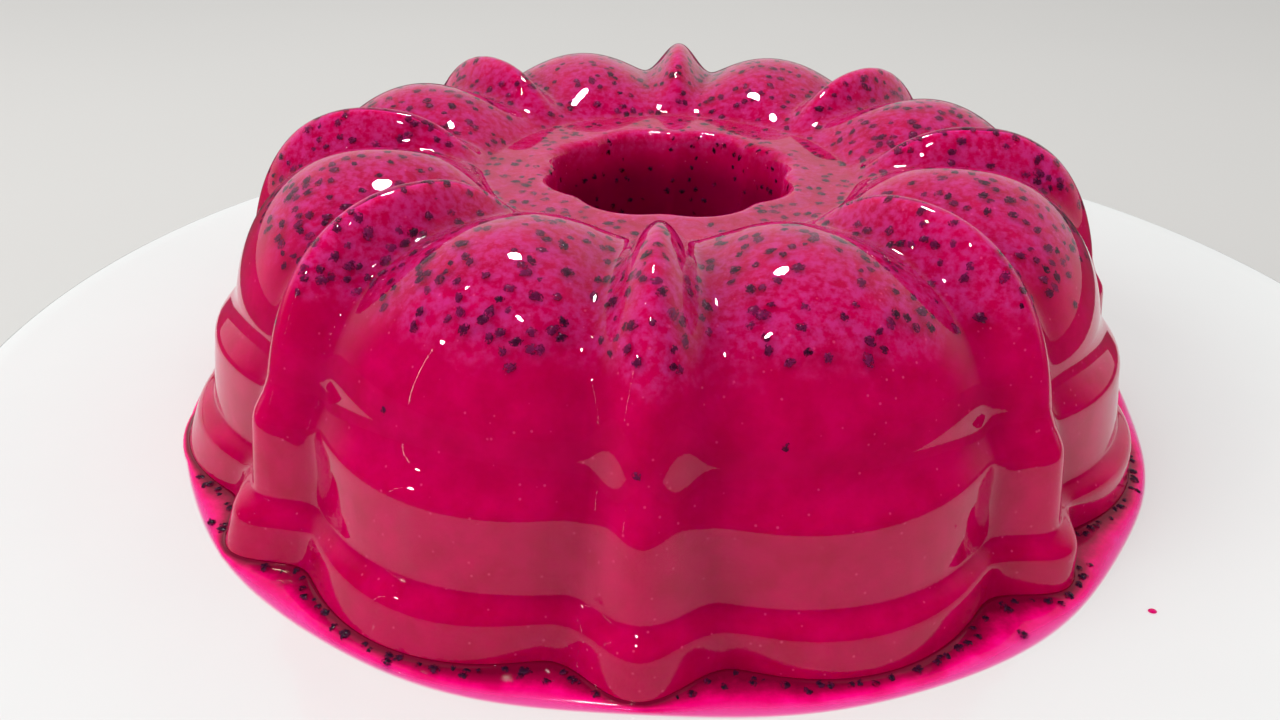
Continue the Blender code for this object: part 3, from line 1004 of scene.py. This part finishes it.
def makeGlazeMaterial(ripple):
    material, tree, shader = newMaterial("whiteGlaze")
    tone = addNode(tree, "ShaderNodeTexNoise", {
        "Vector": objectCoordinates(tree), "Scale": 18.0, "Detail": 3.0})
    colour = rampNode(tree, tone.outputs["Fac"], glazeColours)
    tree.links.new(colour, shader.inputs["Base Color"])
    shader.inputs["Roughness"].default_value = 0.16
    shader.inputs["Coat Weight"].default_value = 0.5
    shader.inputs["Coat Roughness"].default_value = 0.04
    waves = useGroup(tree, ripple, Scale=90.0, Height=0.0002, Strength=0.2)
    tree.links.new(waves.outputs["Normal"], shader.inputs["Normal"])
    return material


# Studio

studio = {
    "floorHalf": 1.6,
    "floorColour": (0.62, 0.615, 0.60),
    "mirroredFloor": (0.03, 0.03, 0.03),  # the dark room that the flutes mirror in front of them
    "worldColour": (1.0, 0.99, 0.98),
    "softLight": 0.80,  # the even light on everything
    "mirroredFront": 0.015,
    "mirroredBack": 0.70,
    "mirroredAbove": 0.46,  # the share of that right overhead
    "backdrop": 0.62,
    "lens": 29.884,
    "cameraPlace": (-0.0043, -0.2371, 0.1456),
    "cameraRight": (0.9982, 0.05793, 0.01553),
    "cameraUp": (-0.04202, 0.49076, 0.87028),
    "cameraForward": (-0.04279, 0.86937, -0.49231),
    # Each lamp: place, width, watts and colour. They are small, like ceiling lamps in the jelly.
    "lampFaces": (-0.01, -0.03, 0.06),
    "lamps": (
        ("lampKey", (-0.066, 0.163, 0.519), 0.070, 1.60, (1.0, 1.0, 1.0)),
        ("lampFront", (-0.075, -0.260, 0.650), 0.034, 0.45, (1.0, 1.0, 1.0)),
        ("lampWarm", (-0.344, -0.062, 0.570), 0.020, 0.16, (1.0, 0.86, 0.62)),
        ("lampLow", (-0.500, -0.330, 0.400), 0.026, 0.25, (1.0, 1.0, 1.0)),
    ),
    # Broad soft lights that nothing mirrors: place, width, watts
    "softBoxes": (
        ("softLeft", (-0.95, -0.45, 0.75), 0.7, 5.4),
        ("softTop", (-0.10, 0.10, 1.25), 0.8, 3.8),
    ),
    # A narrow upright tube, which the flutes mirror as fine streaks
    "tube": {"place": (-0.92, -0.52, 0.30), "width": 0.006, "height": 0.5, "watts": 0.09},
}


def makeFloor():
    form = bmesh.new()
    bmesh.ops.create_grid(form, x_segments=2, y_segments=2, size=studio["floorHalf"])
    mesh = bpy.data.meshes.new("floor")
    form.to_mesh(mesh)
    form.free()
    material, tree, shader = newMaterial("paleFloor")
    tone = addNode(tree, "ShaderNodeTexNoise", {"Vector": objectCoordinates(tree), "Scale": 3.0})
    pale = studio["floorColour"]
    colour = rampNode(tree, tone.outputs["Fac"], [(0.3, pale), (0.7, tuple(v * 1.03 for v in pale))])
    mirrored = addNode(tree, "ShaderNodeLightPath").outputs["Is Glossy Ray"]
    shown = mixColours(tree, mirrored, colour, studio["mirroredFloor"])
    tree.links.new(shown, shader.inputs["Base Color"])
    shader.inputs["Roughness"].default_value = 0.7
    mesh.materials.append(material)
    floor = bpy.data.objects.new("floor", mesh)
    collection.objects.link(floor)


def addLamp(name, shape, place, size, watts, colour=(1.0, 1.0, 1.0)):
    light = bpy.data.lights.new(name, "AREA")
    light.shape, light.size, light.energy, light.color = shape, size, watts, colour
    lamp = bpy.data.objects.new(name, light)
    lamp.location = place
    towards = Vector(place) - Vector(studio["lampFaces"])
    lamp.rotation_euler = towards.to_track_quat("Z", "Y").to_euler()
    collection.objects.link(lamp)
    return lamp


def makeLamps():
    # The small lamps are only mirrored, and the broad ones only light what they shine on
    for name, place, width, watts, colour in studio["lamps"]:
        addLamp(name, "DISK", place, width, watts, colour).visible_diffuse = False
    tube = studio["tube"]
    streak = addLamp("lampTube", "RECTANGLE", tube["place"], tube["width"], tube["watts"])
    streak.data.size_y, streak.visible_diffuse = tube["height"], False
    for name, place, width, watts in studio["softBoxes"]:
        soft = addLamp(name, "SQUARE", place, width, watts)
        soft.visible_glossy = soft.visible_transmission = False


def makeWorld():
    world = bpy.data.worlds.new("studio")
    world.use_nodes = True
    tree = world.node_tree
    background = tree.nodes["Background"]
    background.inputs["Color"].default_value = (*studio["worldColour"], 1.0)
    # What the jelly mirrors is bright above and behind it, and dark in front
    direction = addNode(tree, "ShaderNodeTexCoord").outputs["Generated"]
    ways = addNode(tree, "ShaderNodeSeparateXYZ", {"Vector": direction})
    mirrored = addNode(tree, "ShaderNodeMapRange", {
        "Value": ways.outputs["Y"], "From Min": -0.05, "From Max": 0.50,
        "To Min": studio["mirroredFront"], "To Max": studio["mirroredBack"]},
        interpolation_type="SMOOTHSTEP")
    upward = addNode(tree, "ShaderNodeMapRange", {
        "Value": ways.outputs["Z"], "From Min": 0.2, "From Max": 0.95, "To Min": 1.0,
        "To Max": studio["mirroredAbove"]})
    room = mathNode(tree, "MULTIPLY", mirrored.outputs[0], upward.outputs[0])
    path = addNode(tree, "ShaderNodeLightPath")
    seen = addNode(tree, "ShaderNodeMix", {
        0: path.outputs["Is Camera Ray"], 2: room, 3: studio["backdrop"]})
    strength = addNode(tree, "ShaderNodeMix", {
        0: path.outputs["Is Diffuse Ray"], 2: seen.outputs[0], 3: studio["softLight"]})
    tree.links.new(strength.outputs[0], background.inputs["Strength"])
    bpy.context.scene.world = world


def makeCamera():
    camera = bpy.data.cameras.new("camera")
    camera.lens = studio["lens"]
    camera.sensor_width = 36.0
    camera.clip_start = 0.01
    viewer = bpy.data.objects.new("camera", camera)
    right, up, forward = (Vector(studio[name]) for name in ("cameraRight", "cameraUp", "cameraForward"))
    columns = [right, up, -forward]
    turn = Matrix([[column[row] for column in columns] for row in range(3)]).to_4x4()
    viewer.matrix_world = Matrix.Translation(studio["cameraPlace"]) @ turn
    collection.objects.link(viewer)
    bpy.context.scene.camera = viewer


makeCamera()
pulp, ripple = makePulpGroup(), makeRippleGroup()
syrupMaterial, seedMaterial = makeSyrupMaterial(pulp, ripple), makeSeedMaterial()
jellySkin = makeSkin(makeSkinMaterial(ripple))
makeCore(makeCoreMaterial(pulp))
makeSeeds(jellySkin, seedMaterial)
makeSyrup(syrupMaterial)
makeHoleSyrup(syrupMaterial)
makeDrop(syrupMaterial)
makeSyrupSeeds(seedMaterial)
makePlate(makeGlazeMaterial(ripple))
makeFloor()
makeLamps()
makeWorld()
bpy.context.scene.view_settings.view_transform = "Standard"
print("studio ready")
